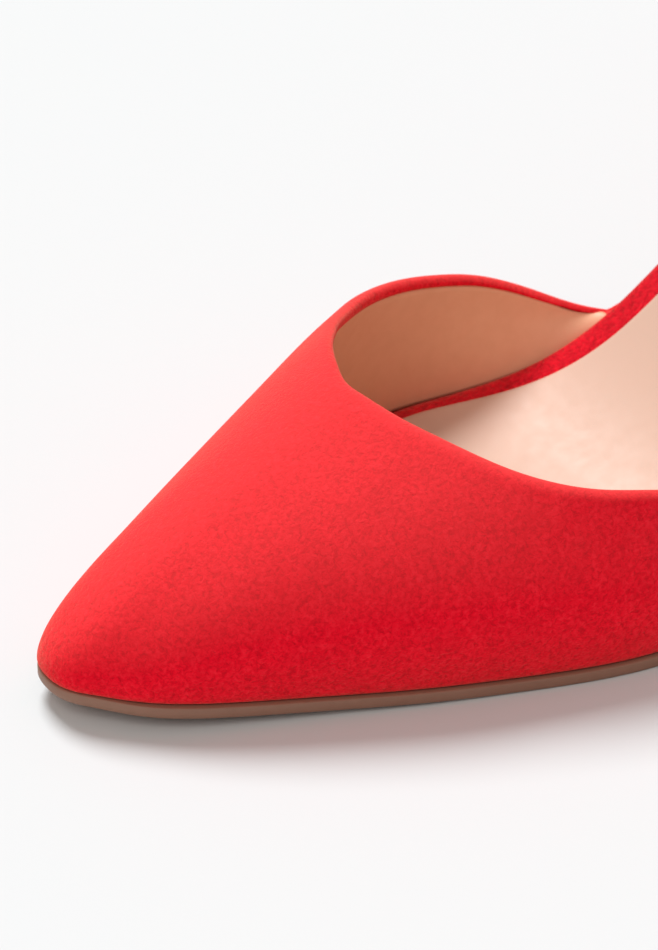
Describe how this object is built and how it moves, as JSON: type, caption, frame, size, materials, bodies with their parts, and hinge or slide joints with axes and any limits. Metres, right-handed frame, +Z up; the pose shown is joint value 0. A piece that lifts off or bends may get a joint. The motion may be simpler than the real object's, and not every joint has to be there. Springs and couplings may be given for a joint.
{
  "type": "high heel pump",
  "caption": "Pointed-toe high-heel pump with open sides, closed heel cup, wrapped insole edge, slim covered heel and hard top lift, for dress wear.",
  "frame": {"origin": "centre of the top lift's ground face, on the floor", "axes": "+Z up, toe towards -Y, heel towards +Y, outer (lateral) side of this left shoe towards +X"},
  "size_m": [0.0802, 0.2416, 0.135],
  "materials": {
    "red_suede": "fine-napped microfibre suede",
    "tan_lining": "smooth matt lining",
    "nude_sock": "smooth satin synthetic leather",
    "brown_sole": "satin sole sheet with polished edge",
    "stiffener": "impregnated non-woven sheet",
    "tape": "woven nylon tape",
    "board": "cellulose insole board",
    "foam": "latex foam",
    "cork": "cork composite",
    "spring_steel": "hardened strip",
    "zinc_steel": "zinc plated",
    "heel_plastic": "moulded plastic",
    "lift_plastic": "dense wear-resistant plastic"
  },
  "bodies": {
    "root": {"vamp_outer": "red_suede", "vamp_lining": "tan_lining", "toe_puff": "stiffener", "vamp_topline_tape": "tape", "quarter_outer_lateral": "red_suede", "quarter_outer_medial": "red_suede", "quarter_lining": "tan_lining", "heel_counter": "stiffener", "quarter_topline_tape": "tape", "insole_wrap": "red_suede", "insole_board": "board", "cushion_foam": "foam", "sock_lining": "nude_sock", "shank_board": "board", "steel_shank": "spring_steel", "shank_rivets": "zinc_steel", "bottom_filler": "cork", "outsole": "brown_sole", "heel_block": "heel_plastic", "heel_cover": "red_suede", "heel_dowel_tube": "zinc_steel", "heel_screw": "zinc_steel", "heel_nails": "zinc_steel", "top_lift": "lift_plastic", "top_lift_pin": "zinc_steel"}
  },
  "joints": []
}
